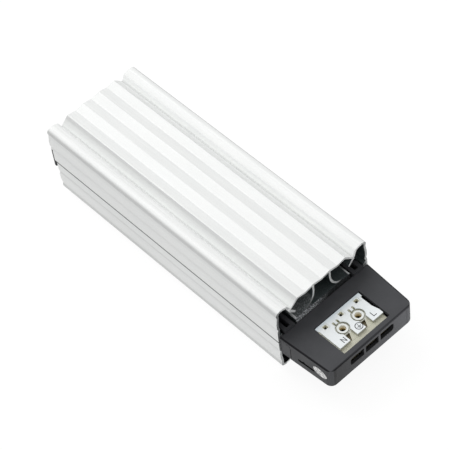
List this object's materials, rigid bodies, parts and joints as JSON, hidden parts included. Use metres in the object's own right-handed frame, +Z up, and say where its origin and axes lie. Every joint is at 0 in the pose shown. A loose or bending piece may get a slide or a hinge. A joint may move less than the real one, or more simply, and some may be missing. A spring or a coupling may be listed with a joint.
{
  "type": "enclosure heater",
  "caption": "Aluminium enclosure heater with ribbed extruded halves, ceramic heating pack, black terminal housing with white clamp block, and a spring clip for rail mounting.",
  "frame": {"origin": "centre of the bounding box at the lowest face, which is the underside of the rail clip's lips", "axes": "+X along the heater towards the terminal housing, +Y across it, +Z up, away from the rail clip"},
  "size_m": [0.2264, 0.0682, 0.0536],
  "materials": {
    "anodised_aluminium": "satin anodised extrusion",
    "black_plastic": "fine matte moulded",
    "block_plastic": "satin moulded",
    "contact_metal": "plain",
    "spring_steel": "plain rolled",
    "ptc_ceramic": "fired ceramic",
    "insulation_film": "thin film",
    "lead_live": "wire sleeve",
    "lead_neutral": "wire sleeve",
    "lead_earth": "wire sleeve"
  },
  "bodies": {
    "root": {"clamp_spring_earth": "spring_steel", "clamp_spring_live": "spring_steel", "clamp_spring_neutral": "spring_steel", "clip_rivet_1": "spring_steel", "clip_rivet_2": "spring_steel", "contact_bar_earth": "contact_metal", "contact_bar_live": "contact_metal", "contact_bar_neutral": "contact_metal", "din_clip": "spring_steel", "earth_lug": "contact_metal", "earth_screw": "spring_steel", "electrode_lower": "contact_metal", "electrode_upper": "contact_metal", "housing_base": "black_plastic", "housing_cover": "black_plastic", "insulation_sleeve": "insulation_film", "lead_earth": "lead_earth", "lead_live": "lead_live", "lead_neutral": "lead_neutral", "lower_profile": "anodised_aluminium", "ptc_stone_1": "ptc_ceramic", "ptc_stone_2": "ptc_ceramic", "ptc_stone_3": "ptc_ceramic", "ptc_stone_4": "ptc_ceramic", "ptc_stone_5": "ptc_ceramic", "rear_cap": "black_plastic", "terminal_block": "block_plastic", "upper_profile": "anodised_aluminium"}
  },
  "joints": []
}
